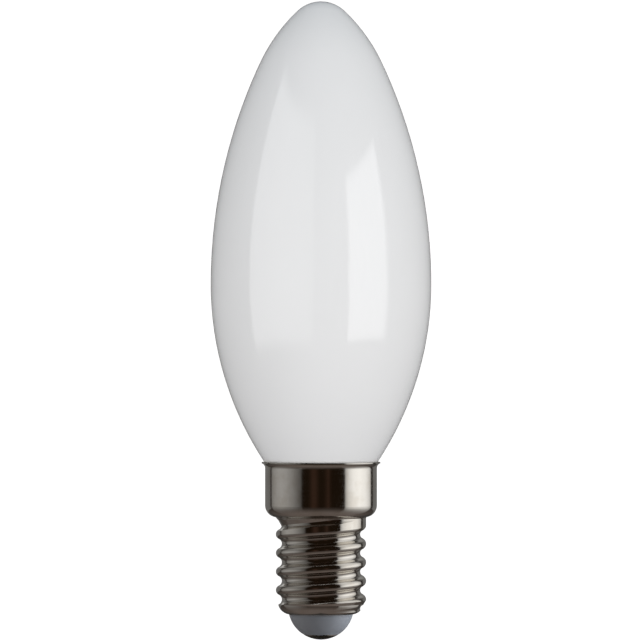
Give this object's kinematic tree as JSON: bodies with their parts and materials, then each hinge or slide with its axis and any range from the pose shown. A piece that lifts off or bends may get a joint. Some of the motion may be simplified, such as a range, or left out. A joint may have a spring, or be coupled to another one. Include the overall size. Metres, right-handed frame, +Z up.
{
  "type": "candle bulb",
  "caption": "Opal glass candle bulb with a small nickel-plated screw cap: flared skirt, rolled round thread, moulded insulator dome and domed centre contact.",
  "frame": {"origin": "the lowest point of the centre contact, on the bulb's axis", "axes": "+Z up the bulb's axis to the glass tip; +X to the right and +Y away in the picture's view"},
  "size_m": [0.0336, 0.0336, 0.097],
  "materials": {
    "opal_glass": "glossy opal white",
    "nickel_plate": "bright nickel plate",
    "insulator_moulding": "glossy blue-grey moulding",
    "contact_metal": "dull tinned brass"
  },
  "bodies": {
    "root": {"glass_envelope": "opal_glass", "cap_shell": "nickel_plate", "insulator": "insulator_moulding", "centre_contact": "contact_metal"}
  },
  "joints": []
}
